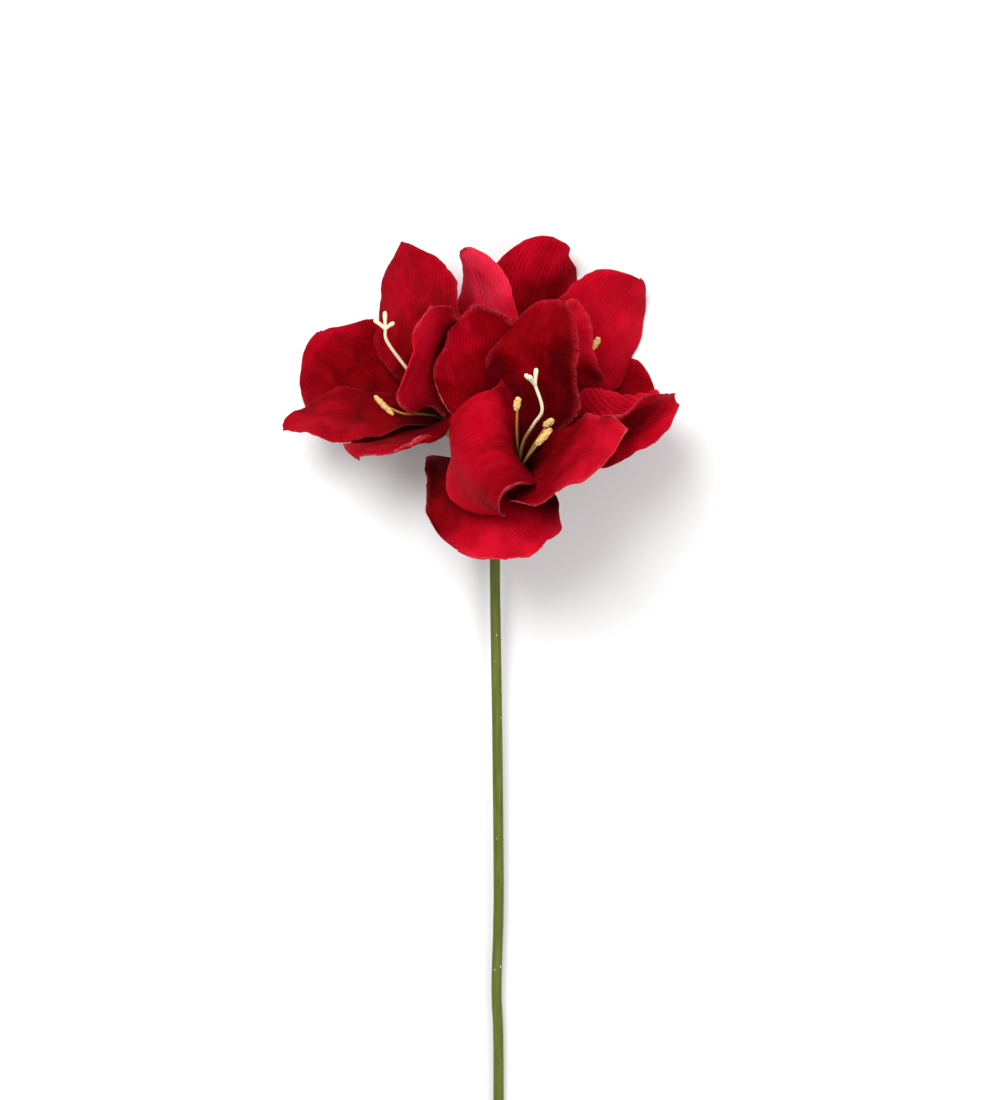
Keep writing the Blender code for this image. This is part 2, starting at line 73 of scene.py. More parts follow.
# Petals, as in the solids
THICKNESS = 0.8
STEEP = 0.43
PRESS_REACH = 3.0
RING_RADIUS = {"inner": 4.2, "outer": 6.0}
BASE_LEAN = 14.0
LEAN_PLACES = (0.0, 0.33, 0.66, 1.0)
SWERVE_POWER = 1.5
TWIST_POWER = 1.3
CLAW_WIDTH = {"inner": 6.0, "outer": 7.0}
CLAW_FADES_FROM = 0.6
RISE_POWER = 1.6
FALL_POWER = 2.2
TIP_SHARE = 0.05
TUBE_SHARE = 0.72
TUBE_FREEDOM = 60.0
OPENS_FROM = 0.12
OPENS_OVER = 0.33
TUBE_MOST_CURL = 0.85
TIP_CURL_FROM = 0.45
TIGHTEST_CURL_RADIUS = 3.0
MARGIN_FROM = 0.45
MARGIN_POWER = 1.5
MARGIN_PLACE = 0.65
MARGIN_SPREAD = 0.28
LOOSE_FROM = 0.3
LOOSE_OVER = 0.25
CREASE_DEPTH = 0.9
CREASE_WIDTH = 5.0
RUFFLE = 2.0
RUFFLES = 2.6
SCALLOP = 1.2
SCALLOPS = 2.4

# Uneven waves: the pace and the height of each part of one, and how a seed shifts them
WAVE_PARTS = ((1.0, 0.5), (1.73, 0.3), (2.91, 0.2))
WAVE_SEED_SHIFT = 1.7
WAVE_PART_SHIFT = 2.3

# Petals, finer than the solids
ROWS = 101
COLUMNS = 97
EDGE_THICKNESS = 0.5
EDGE_THINS_OVER = 6.0
ROLLS_FROM = 0.78
EDGE_WAVE = 0.8
EDGE_WAVES = 6.0
EDGE_WAVE_POWER = 4
EDGE_NICK = 0.4
EDGE_NICKS = 9.0
RIB_DEPTH = 0.3
RIB_SPREAD = 0.55
RIB_FROM = 0.22
RIB_OVER = 0.2
MIDRIB_DEPTH = 0.45
MIDRIB_WIDTH = 0.9
MARGIN_BAND = 1.1
RIB_SWAY = 0.3
RIB_SWAYS = 1.3
RIB_SWAY_ACROSS = 0.02
MIDRIB_FROM = 0.1
MIDRIB_OVER = 0.2
TEXTURE_SHIFT = 3.7

# Tubes: a direction that no tube starts in, and the least radius at a rounded end
OFF_AXIS = (0.31, 0.92, 0.23)
LEAST_RADIUS = 0.02

# Stalk and pedicels, finer than the solids; a ridge has a count round it, a drift and a height
STALK_RINGS = 240
STALK_SIDES = 48
STALK_UNEVEN = 0.012
STALK_WAVES = 9.0
STALK_RIDGES = ((9, 2, 0.012), (17, -5, 0.006))
CUT_EDGE_SHARE = 0.93
PEDICEL_RINGS = 46
PEDICEL_SIDES = 40
PEDICEL_START_SHARE = 0.97
PEDICEL_END_SHARE = 0.95
SEAT_LOBES = 3
SEAT_LOBE_DEPTH = 0.035
SEAT_LOBES_FROM = 0.5
SEAT_LOBES_PACE = 3

# Threads: stamens and pistils
FOOT_RADIUS = 2.2
FOOT_THICKNESS = 0.75
FILAMENT_RADIUS = 0.9
ANTHER_RADIUS = 2.0
STYLE_RADIUS = 1.05
STIGMA_RADIUS = 1.3
STIGMA_OVERLAP = 0.3
SOLID_STYLE_POINTS = 11

# Threads, finer than the solids; an anther's lump has a count round it, a drift, a shift and a height
FOOT_RINGS = 36
FOOT_SIDES = 12
FOOT_TUBE_SHARE = 0.97
FILAMENT_RINGS = 60
FILAMENT_SIDES = 14
FILAMENT_START = 1.02
FILAMENT_TAPER = 0.3
FILAMENT_UNEVEN = 0.03
FILAMENT_WAVES = 5.0
FILAMENT_END_POINTS = 6
ANTHER_RINGS = 40
ANTHER_SIDES = 28
ANTHER_SHARE = 0.95
ANTHER_POWER = 3.0
ANTHER_OVERRUN = 0.04
ANTHER_BOW = 0.5
ANTHER_HALVES = 0.16
ANTHER_GROOVE = 0.16
GROOVE_WIDTH = 0.25
ANTHER_LUMPS = ((5, 11, 1, 0.1), (3, -19, 2, 0.08))
ANTHER_UNEVEN = 0.05
ANTHER_WAVES = 4
STYLE_RINGS = 90
STYLE_SIDES = 16
STYLE_START = 1.05
STYLE_TAPER = 0.12
STYLE_UNEVEN = 0.02
STYLE_WAVES = 7.0
STYLE_SEED = 2.0
STIGMA_RINGS = 26
STIGMA_SIDES = 16
STIGMA_PULL_PLACE = 0.45
STIGMA_PULL = 0.8
STIGMA_START = 0.8
STIGMA_SWELL = 0.38
STIGMA_SWELLS_FROM = 0.35
STIGMA_SWELLS_PACE = 2.0
STIGMA_UNEVEN = 0.04
STIGMA_WAVES = 2.0
STIGMA_ROUNDING = 9

# Reds of the cloth, darkened towards the throat as painted shade: the darkest, and where each lighter one
# comes in on the way outward; the last, pinkish one is a painted highlight
DARKEST_RED = (0.045, 0.0001, 0.0004)
LIGHTER_REDS = (
    (0.0, 0.5, (0.17, 0.0002, 0.0015)),
    (0.5, 1.0, (0.37, 0.0006, 0.008)),
    (0.95, 1.5, (0.6, 0.004, 0.02)),
    (1.5, 2.1, (0.86, 0.03, 0.075)),
)
PATCH_RED = (0.6, 0.012, 0.036)
GRAIN_RED = (0.7, 0.02, 0.05)
# The red of the rib valleys is painted shade
GROOVE_SHADE_RED = (0.09, 0.0003, 0.0012)
# The thin edge's red is partly painted sheen, the rim's red is a painted highlight, and the back's pale red
# is partly painted sheen
EDGE_AND_SHEEN_RED = (0.6, 0.035, 0.055)
RIM_HIGHLIGHT_RED = (0.62, 0.035, 0.055)
PALE_BACK_AND_SHEEN_RED = (0.56, 0.1, 0.11)
# The throat's near-black red is painted shade
THROAT_SHADE_RED = (0.02, 0.0006, 0.0012)
CLAW_GREEN = (0.09, 0.06, 0.01)

# How strongly each shows in the cloth, and the scales of its patterns
TONE_REACH = 0.5
CLOUD_REACH = 0.26
PATCH_MOST = 0.3
GRAIN_MOST = 0.14
GROOVE_SHADE_MOST = 0.6
EDGE_AND_SHEEN_MOST = 0.3
RIM_HIGHLIGHT_MOST = 0.4
THROAT_SHADE_MOST = 0.92
CLAW_MOST = 0.7
CLOUD_SCALE = 0.045
PATCH_SCALE = 0.22
GRAIN_SCALE = 1.6
RAGGED_SCALE = 0.5
RIB_SHAKE = 0.18
VALLEY_POWER = 2.2
FINE_RIBS = 8.2
FINE_RELIEF = 0.25
PATCH_RELIEF = 0.5
GRAIN_RELIEF = 0.22
CLOTH_RELIEF = 0.35

# Greens of a stalk: the main one, a lighter and a darker; and the colours of the threads
STALK_GREENS = ((0.1, 0.128, 0.015), (0.135, 0.165, 0.025), (0.065, 0.088, 0.007))
SEAT_GREENS = ((0.16, 0.21, 0.04), (0.2, 0.26, 0.06), (0.12, 0.16, 0.02))
SPECK = (0.62, 0.64, 0.5)
# The filament's dark foot is painted shade, and the pollen's pale cream is partly painted highlight
FILAMENT_SHADED_FOOT = (0.03, 0.017, 0.003)
FILAMENT_YELLOW = (0.46, 0.27, 0.06)
ANTHER_BROWN = (0.45, 0.19, 0.02)
ANTHER_GOLD = (0.68, 0.42, 0.07)
POLLEN_AND_HIGHLIGHT = (0.9, 0.76, 0.4)
DARK_CREAM = (0.8, 0.74, 0.44)
LIGHT_CREAM = (0.86, 0.82, 0.6)
STYLE_BROWN = (0.3, 0.14, 0.03)
STYLE_FOOT = (0.06, 0.03, 0.006)

# The photograph's view: its scale at the head's middle, and how far away the camera stands
MM_PER_PIXEL = 0.625
PICTURE_HEIGHT = 1100
CAMERA_DISTANCE = 2000.0
SENSOR = 36.0

# The stage, in metres and watts
FLOOR_REACH = 6.0
FLOOR_GREYS = ((0.86, 0.86, 0.86), (0.88, 0.88, 0.88))
SURROUND = 0.42
LIGHTS_AIM = (0.0, 0.2, 0.05)
NEAREST_SEEN = 0.05
FURTHEST_SEEN = 50.0


@dataclass
class Petal:
    """One petal's design, with the same values as its solid, and then its finish.

    ribs: how strongly its lengthwise ribs show. pitch: how far apart they are. slant: how much
    they turn across its length. frills: bulges too small for the solid, given as lobes are.
    rolls: where a margin rolls over, inward if above zero: its side, place, angle and reach.
    tone: painted light and shade on the whole petal, lighter above zero and darker below. slope: painted
    light, how much lighter its anticlockwise side is than the other. pale: how pale its margins are on
    the back, partly painted sheen, and, from 0.6 up, on both faces as a painted highlight.
    """

    name: str
    ring: str
    turn: float
    length: float
    width: float
    lean: tuple
    swerve: float = 0.0
    twist: float = 0.0
    cup: tuple = (15.0, 0.0)
    margins: tuple = (0.0, 0.0)
    blunt: float = 0.72
    widest: float = 0.58
    lobes: tuple = ()
    lift: float = 0.0
    ribs: float = 0.5
    pitch: float = 3.2
    slant: float = 0.0
    frills: tuple = ()
    rolls: tuple = ()
    tone: float = 0.0
    slope: float = 0.0
    pale: float = 0.5


@dataclass
class Stamen:
    """A filament that leaves the foot at a turn and runs by some points to an anther."""

    turn: float
    by: tuple
    anther: tuple


@dataclass
class Bloom:
    """A bloom: its seat in the head's frame, the way it faces, and what grows on it."""

    name: str
    seat: tuple
    facing: tuple
    pedicel_turn: float
    petals: tuple
    stamens: tuple
    style: tuple
    stigma: tuple


FRONT = Bloom(
    name="front",
    seat=(13, 46, 29),
    facing=(-0.10, 0.47, 0.88),
    pedicel_turn=90,
    petals=(
        Petal("top", "inner", 80, 110, 63, (58, 52, 89), -17, -17, (44, 21), (17, -3),
              blunt=0.73, widest=0.6, lobes=((-1, 0.39, 11.0, 0.14), (1, 0.5, 1.0, 0.15)), ribs=0.15,
              rolls=((-1, 0.7, -75, 0.5), (1, 0.8, -100, 0.3)), tone=-0.9, pale=0.8),
        Petal("back_left", "outer", 108, 106, 54, (72, 49, 75), 2, -16, (11, -6), (2, -40),
              blunt=0.76, widest=0.62, lobes=((1, 0.54, 14.0, 0.21),), ribs=0.6,
              pitch=2.6, slant=0.25, frills=((-1, 0.88, 4.0, 0.05), (1, 0.9, 3.0, 0.04)),
              rolls=((1, 0.55, 165, 0.17),), tone=-0.55, slope=0.7, pale=1.0),
        Petal("lip", "inner", 190, 105, 74, (18, 135, 121), 36, 13, (15, -43), (-15, -51),
              blunt=0.43, widest=0.53, lobes=((-1, 0.28, 16.0, 0.12), (1, 0.7, 9.0, 0.3)), ribs=0.25,
              frills=((-1, 0.3, 12.0, 0.05), (-1, 0.94, 4.0, 0.04)), rolls=((1, 0.52, 150, 0.13),),
              tone=0.45, slope=-0.4),
        Petal("bottom", "outer", 232, 61, 96, (101, 108, 112), 3, 24, (-23, 2), (15, 42),
              blunt=0.48, widest=0.61, lobes=((-1, 0.4, 24.0, 0.14), (1, 0.2, 36.0, 0.16)), ribs=0.5,
              pitch=2.4, rolls=((-1, 0.93, 120, 0.08), (1, 0.95, 90, 0.06)), tone=0.3, slope=1.5, pale=0.9),
        Petal("right", "inner", 328, 110, 63, (39, 45, 62), 46, -18, (-7, 5), (9, -6),
              blunt=0.71, widest=0.49, lobes=((-1, 0.31, 11.0, 0.15), (1, 0.37, 5.0, 0.16)), ribs=0.3,
              rolls=((1, 0.88, 110, 0.1), (1, 0.55, 40, 0.2), (-1, 0.38, 90, 0.08)), tone=0.35, pale=1.0),
        Petal("back_right", "outer", 30, 104, 49, (85, 109, 75), 11, -49, (75, 31), (11, -6),
              ribs=3.0, pitch=30.0, slant=6.5, tone=0.7),
    ),
    stamens=(
        Stamen(100, ((0, 4, 20), (1, 8, 42)), ((2, 11, 60), (4, 16, 67))),
        Stamen(-20, ((3, -1, 15), (11, -1, 38)), ((19, 2, 56), (25, 4, 61))),
        Stamen(-80, ((2, -3, 15), (8, -7, 36)), ((15, -10, 55), (24, -3, 62))),
    ),
    style=((0, 0, 0), (1, 1.5, 18), (5, 4, 36), (12, 8, 49), (18, 11, 62), (14, 20, 80)),
    stigma=((9, 22, 84), (16, 25, 86), (12, 19, 87)),
)
LEFT = Bloom(
    name="left",
    seat=(-33, 81, -12),
    facing=(-0.575, 0.572, 0.585),
    pedicel_turn=210,
    petals=(
        Petal("top", "inner", 107, 115, 75, (48, 51, 45), -5, -14, (14, -30), (-13, -4),
              ribs=0.6, pitch=2.4, tone=0.1),
        Petal("back", "outer", 175, 105, 80, (67, 47, 72), -39, 7, (11, -22), (-9, -2),
              blunt=0.57, widest=0.6, lobes=((-1, 0.51, -5.0, 0.18),), ribs=0.5, pitch=2.6,
              frills=((-1, 0.95, -4.0, 0.04),), tone=-0.45),
        Petal("tip", "inner", 218, 103, 54, (48, 54, 77), 3, 7, (6, 5), (11, -20),
              blunt=0.76, ribs=0.5, frills=((1, 0.16, 10.0, 0.09),), tone=-0.05, slope=0.3),
        Petal("bottom", "outer", 279, 87, 66, (54, 44, 78), 2, -16, (2, -20), (1, -24),
              blunt=0.74, widest=0.52, lobes=((-1, 0.49, 7.0, 0.16),), ribs=1.2, pitch=2.6,
              slant=0.3, frills=((-1, 0.17, 13.0, 0.15), (1, 0.22, 9.0, 0.12)),
              rolls=((1, 0.72, 150, 0.25),), tone=-0.1, pale=1.0),
        Petal("near", "inner", 8, 112, 66, (21, 43, 28), 11, -31, (2, -5), (-10, -13),
              blunt=0.74, widest=0.54, lobes=((-1, 0.79, -7.0, 0.1),), ribs=0.1,
              rolls=((1, 0.7, -75, 0.5),), tone=0.9, slope=-0.7),
        Petal("crown", "outer", 67, 114, 71, (77, 39, 28), 11, -2, (2, -31), (-8, -16),
              lobes=((1, 0.34, -8.0, 0.21),), ribs=0.9, pitch=2.2, tone=2.0),
    ),
    stamens=(
        Stamen(-90, ((1, -4, 10), (4, -14, 26), (8, -24, 40)), ((4, -27, 62), (9, -30, 47))),
        Stamen(150, ((-1, 2.5, 16), (1, 2.5, 29)), ((2, 1.5, 39), (2, 4, 46))),
        Stamen(40, ((3, 4.5, 16), (5, 6, 31)), ((8, 8, 44), (10, 11, 49))),
    ),
    style=((0, 0, 0), (3, 0, 15), (8, -2, 35), (12, -2, 54), (10, 3, 77), (12, 8, 85)),
    stigma=((12, 16, 91), (17, 12, 84), (7, 9, 92)),
)
RIGHT = Bloom(
    name="right",
    seat=(17, 87, -35),
    facing=(0.644, 0.377, 0.665),
    pedicel_turn=330,
    petals=(
        Petal("near", "inner", 135, 96, 45, (12, 41, 25), -35, -19, (89, -17), (8, 5),
              blunt=0.68, widest=0.52, lobes=((-1, 0.42, 13.0, 0.08),), ribs=0.2,
              rolls=((-1, 0.7, -50, 0.4),), tone=0.45, slope=-0.5, pale=1.0),
        Petal("top", "inner", 50, 111, 78, (34, 52, 29), 5, 22, (13, -28), (-26, -5),
              blunt=0.5, widest=0.62, lift=1.5, ribs=0.35, pitch=2.6,
              rolls=((-1, 0.7, -40, 0.4), (1, 0.7, -40, 0.4)), tone=0.6),
        Petal("crown", "outer", 98, 110, 76, (68, 54, 44), -26, -6, (14, -35), (-4, -9),
              blunt=0.57, widest=0.59, lobes=((1, 0.57, -3.0, 0.14),), ribs=0.7, pitch=3.2,
              frills=((-1, 0.93, -4.0, 0.04), (-1, 1.0, 5.0, 0.035)), tone=0.1),
        Petal("back", "outer", -7, 81, 47, (55, 41, 71), -26, -20, (48, 37), (39, 10),
              blunt=0.64, widest=0.56, lobes=((-1, 0.58, -8.0, 0.16), (1, 0.82, 13.0, 0.14)), ribs=0.4,
              tone=-0.35),
        Petal("side", "inner", 288, 117, 69, (34, 17, -10), 21, 18, (6, -21), (-24, -7),
              lobes=((-1, 0.45, 7.0, 0.25),), ribs=0.4, tone=0.05),
        Petal("inner", "outer", 237, 77, 58, (55, 53, 49), 0, 0, (25, 8), (0, 0)),
    ),
    stamens=(
        Stamen(10, ((4.5, 2, 13), (10, 2, 22), (14.5, 5.5, 33), (15, 14, 46)),
               ((15, 20, 55), (16.5, 25, 62))),
        Stamen(80, ((1.5, 2, 14), (2.5, 2, 24)), ((3, 2, 34), (3.5, 3, 41))),
        Stamen(-140, ((-4, -4, 13), (-5, -5, 23)), ((-6, -4, 32), (-5, -1, 38))),
    ),
    style=((0, 0, 0), (1, -1, 13), (3, -3, 25), (5, -6, 35)),
    stigma=((3, -9, 39), (8, -8, 38), (6, -4, 40)),
)
BLOOMS = (FRONT, LEFT, RIGHT)


# Shapes that the solids share

def share_past(values, start, span):
    """How far the values have gone from a start over a span, from 0 to 1."""
    return np.clip((values - start) / span, 0.0, 1.0)


def smooth_step(values):
    """Eases from 0 to 1 as the values go from 0 to 1, and stays flat outside."""
    clipped = np.clip(values, 0.0, 1.0)
    return clipped * clipped * (3.0 - 2.0 * clipped)


def hump(values, place, spread):
    """A smooth rise to 1 and back round a place."""
    return np.exp(-(((values - place) / spread) ** 2))


def running_sum(steps, axis):
    """Sums the steps along one axis, starting from zero."""
    first = np.zeros_like(np.take(steps, [0], axis=axis))
    return np.concatenate([first, np.cumsum(steps, axis=axis)], axis=axis)


def unit_rows(vectors):
    """Each vector of an array made one long."""
    return vectors / np.maximum(np.linalg.norm(vectors, axis=-1, keepdims=True), 1e-9)


def wave(values, seed, turns):
    """A smooth uneven wave from -1 to 1, with about so many turns as the values go from 0 to 1."""
    total = np.zeros_like(values)
    for number, (pace, height) in enumerate(WAVE_PARTS):
        shift = (WAVE_SEED_SHIFT + WAVE_PART_SHIFT * number) * seed
        total += height * np.sin(2 * math.pi * turns * pace * values + shift)
    return total


def petal_midline(petal, along):
    """The petal's middle line with its sideways and inward directions, in the bloom's frame."""
    turn = math.radians(petal.turn)
    axis = np.array([0.0, 0.0, 1.0])
    outward = np.array([math.cos(turn), math.sin(turn), 0.0])
    sideways = np.cross(axis, outward)
    leaning = np.polyfit(LEAN_PLACES, (BASE_LEAN, *petal.lean), 3)
    lean = np.radians(np.polyval(leaning, along))[:, None]
    swerve = (math.radians(petal.swerve) * along**SWERVE_POWER)[:, None]
    twist = (math.radians(petal.twist) * along**TWIST_POWER)[:, None]
    away = np.cos(swerve) * outward + np.sin(swerve) * sideways
    across = -np.sin(swerve) * outward + np.cos(swerve) * sideways
    forward = np.cos(lean) * axis + np.sin(lean) * away
    inward = np.cross(forward, across)
    steps = 0.5 * (forward[1:] + forward[:-1]) * (petal.length * np.diff(along)[:, None])
    middle = RING_RADIUS[petal.ring] * outward + running_sum(steps, 0)
    turned_across = np.cos(twist) * across + np.sin(twist) * inward
    turned_inward = -np.sin(twist) * across + np.cos(twist) * inward
    return middle, turned_across, turned_inward


def petal_half_width(petal, along, radius):
    """Half of the blade's width along it: a claw, its widest part, and a tip that rounds off."""
    claw = CLAW_WIDTH[petal.ring]
    rise = np.sin(0.5 * math.pi * share_past(along, 0.0, petal.widest)) ** RISE_POWER
    past = share_past(along, petal.widest, 1.0 - petal.widest)
    fall = (1.0 - past**FALL_POWER) ** petal.blunt
    width = claw + (petal.width - claw) * np.where(along < petal.widest, rise, fall)
    width -= claw * share_past(along, CLAW_FADES_FROM, 1.0 - CLAW_FADES_FROM)
    width = np.maximum(width, TIP_SHARE * petal.width)
    opened = smooth_step((along - OPENS_FROM) / OPENS_OVER)
    return np.minimum(0.5 * width, TUBE_SHARE * radius + TUBE_FREEDOM * opened**2)


def petal_surface(petal):
    """Points on the petal's outer face, and how far each lies across from the middle line."""
    along = np.linspace(0, 1, ROWS)
    out = np.linspace(0, 1, COLUMNS // 2 + 1)
    middle, across, inward = petal_midline(petal, along)
    radius = np.hypot(middle[:, 0], middle[:, 1])
    half = petal_half_width(petal, along, radius)
    opened = smooth_step((along - OPENS_FROM) / OPENS_OVER)
    to_tip = share_past(along, TIP_CURL_FROM, 1.0 - TIP_CURL_FROM)
    own_curl = np.radians(petal.cup[0] + (petal.cup[1] - petal.cup[0]) * to_tip)
    curl = np.minimum(half / radius, TUBE_MOST_CURL) * (1 - opened) + own_curl * opened
    curl = np.clip(curl, -half / TIGHTEST_CURL_RADIUS, half / TIGHTEST_CURL_RADIUS)
    margin_along = hump(along, MARGIN_PLACE, MARGIN_SPREAD)[:, None]
    margin_out = share_past(out, MARGIN_FROM, 1.0 - MARGIN_FROM) ** MARGIN_POWER
    rolled_out = share_past(out, ROLLS_FROM, 1.0 - ROLLS_FROM)
    loose = share_past(along, LOOSE_FROM, LOOSE_OVER)[:, None]
    halves = []
    distances = []
    for side, margin in zip((-1, 1), petal.margins):
        reach = half.copy()
        for lobe_side, place, size, spread in petal.lobes + petal.frills:
            if lobe_side == side:
                reach += size * hump(along, place, spread)
        reach += SCALLOP * loose[:, 0] * wave(along, petal.turn + side, SCALLOPS)
        reach += EDGE_NICK * loose[:, 0] * wave(along, petal.turn + side, EDGE_NICKS)
        angle = curl[:, None] * out + math.radians(margin) * margin_along * margin_out
        for roll_side, place, turn, spread in petal.rolls:
            if roll_side == side:
                angle = angle + math.radians(turn) * hump(along, place, spread)[:, None] * rolled_out
        angle = 0.5 * (angle[:, 1:] + angle[:, :-1])
        step = reach[:, None] / (len(out) - 1)
        sidewards = running_sum(np.cos(angle) * step, 1)
        depth = running_sum(np.sin(angle) * step, 1)
        phase = math.radians(3 * petal.turn) + side
        depth += RUFFLE * loose * out**2 * np.sin(2 * math.pi * RUFFLES * along + phase)[:, None]
        rippled = wave(along, 2 * petal.turn + side, EDGE_WAVES)[:, None]
        depth += EDGE_WAVE * loose * out**EDGE_WAVE_POWER * rippled
        depth -= CREASE_DEPTH * loose * hump(out * reach[:, None], 0.0, CREASE_WIDTH)
        points = middle[:, None] + side * sidewards[..., None] * across[:, None]
        halves.append(points + depth[..., None] * inward[:, None])
        distances.append(side * out * reach[:, None])
    surface = np.concatenate([halves[0][:, :0:-1], halves[1]], axis=1)
    distance = np.concatenate([distances[0][:, :0:-1], distances[1]], axis=1)
    return surface, distance


def kept_above_floor(world, lift):
    """Presses what would reach through the floor flat against it, for either face of the blade."""
    inner_drop = THICKNESS * np.clip(STEEP - face_directions(world)[..., 2], 0.0, 1.0) + lift
    height = world[..., 2] - inner_drop
    easing = np.clip(height + PRESS_REACH, 0.0, None) ** 2 / (4 * PRESS_REACH)
    pressed = world.copy()
    pressed[..., 2] = inner_drop + np.where(height < PRESS_REACH, easing, height)
    return pressed


def face_directions(grid):
    """At each point of a grid of points, the way that its inner face looks."""
    return unit_rows(np.cross(np.gradient(grid, axis=0), np.gradient(grid, axis=1)))


def bloom_place(bloom):
    """Where the bloom's frame stands: Z the way it faces, Y as far up the stalk as that allows."""
    facing = Vector(bloom.facing).normalized()
    upward = (UP_THE_STALK - UP_THE_STALK.dot(facing) * facing).normalized()
    right = upward.cross(facing)
    place = Matrix((right, upward, facing)).transposed().to_4x4()
    place.translation = Vector(bloom.seat) - Vector(HOME)
    return place


def moved(points, place):
    """Points of the bloom's frame in the part's frame."""
    return np.asarray(points, float) @ np.array(place.to_3x3()).T + np.array(place.translation)


def bezier(controls, count):
    """Points along the Bezier curve that the controls pull."""
    degree = len(controls) - 1
    points = []
    for share in np.linspace(0, 1, count):
        weights = [math.comb(degree, k) * share**k * (1 - share) ** (degree - k) for k in range(degree + 1)]
        points.append(sum((Vector(c) * w for c, w in zip(controls, weights)), Vector()))
    return points


def through(knots, count):
    """Points on a smooth curve through the knots."""
    knots = [np.array(knot, float) for knot in knots]
    padded = [2 * knots[0] - knots[1], *knots, 2 * knots[-1] - knots[-2]]
    points = []
    for share in np.linspace(0, len(knots) - 1, count):
        span = min(int(share), len(knots) - 2)
        t = share - span
        a, b, c, d = padded[span : span + 4]
        bend = (2 * a - 5 * b + 4 * c - d) * t + (3 * b - a - 3 * c + d) * t * t
        points.append(Vector(b + 0.5 * t * (c - a + bend)))
    return points


# Meshes

class Body:
    """Points and faces that are gathered into one mesh, with values that its material reads."""

    def __init__(self):
        self.points = []
        self.faces = []
        self.values = {}
        self.count = 0

    def add(self, points, faces, **values):
        """Adds points, the faces between them, and a value of each name for every point."""
        points = np.asarray(points, float).reshape(-1, 3)
        self.points.append(points)
        self.faces += [tuple(self.count + corner for corner in face) for face in faces]
        for name, value in values.items():
            value = np.asarray(value, float)
            filled = np.broadcast_to(value, (len(points), *value.shape[1:])) if value.ndim < 2 else value
            self.values.setdefault(name, []).append(filled)
        self.count += len(points)

    def finished(self, name, material, slot, *nodes):
        """Makes the mesh an object that rides on the part and stands for some of its nodes."""
        mesh = bpy.data.meshes.new(name)
        mesh.from_pydata((np.concatenate(self.points) * MM).tolist(), [], self.faces)
        for value_name, parts in self.values.items():
            data = np.concatenate(parts)
            kind, field = ("FLOAT_VECTOR", "vector") if data.ndim == 2 else ("FLOAT", "value")
            attribute = mesh.attributes.new(value_name, kind, "POINT")
            attribute.data.foreach_set(field, data.astype(np.float32).ravel())
        mesh.validate()
        mesh.shade_smooth()
        mesh.materials.append(material)
        piece = bpy.data.objects.new(name, mesh)
        bpy.context.scene.collection.objects.link(piece)
        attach(piece, "root")
        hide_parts(*nodes)


def grid_faces(rows, columns, start=0, flipped=False, closed=False):
    """The faces of a grid of points, row by row."""
    faces = []
    for row in range(rows - 1):
        for column in range(columns if closed else columns - 1):
            beside = (column + 1) % columns
            a = start + row * columns + column
            b = start + row * columns + beside
            faces.append((a, b, b + columns, a + columns) if flipped else (a, a + columns, b + columns, b))
    return faces


def rim_order(rows, columns):
    """The points round a grid's edge, in order."""
    order = list(range(columns))
    order += [row * columns + columns - 1 for row in range(1, rows)]
    order += [(rows - 1) * columns + column for column in range(columns - 2, -1, -1)]
    order += [row * columns for row in range(rows - 2, 0, -1)]
    return order


def ribs_and_midrib(petal, across, along, half):
    """Each point's place among the ribs, how strongly they show there, and the relief they make."""
    widest = half.max()
    rib = across / np.maximum(half, 1.0) * (half / widest) ** RIB_SPREAD * widest / petal.pitch
    rib = rib + RIB_SWAY * wave(along + RIB_SWAY_ACROSS * across / widest, petal.turn, RIB_SWAYS)
    rib = rib + petal.slant * along * petal.length / petal.pitch
    shown = smooth_step((along - RIB_FROM) / RIB_OVER) * petal.ribs
    ribs = RIB_DEPTH * shown * 0.5 * (1 + np.cos(2 * math.pi * rib))
    midrib = smooth_step((along - MIDRIB_FROM) / MIDRIB_OVER) * hump(across, 0.0, MIDRIB_WIDTH)
    return rib, shown, MIDRIB_DEPTH * midrib - ribs


def blade_faces(order):
    """The faces of a blade: of its outer and inner grids, and of the rim between their edges."""
    count = ROWS * COLUMNS
    faces = grid_faces(ROWS, COLUMNS)
    faces += grid_faces(ROWS, COLUMNS, start=count, flipped=True)
    for number, corner in enumerate(order):
        following = (number + 1) % len(order)
        beside = order[following]
        low = 2 * count + number
        next_low = 2 * count + following
        faces.append((corner, beside, next_low, low))
        faces.append((low, next_low, count + beside, count + corner))
    return faces


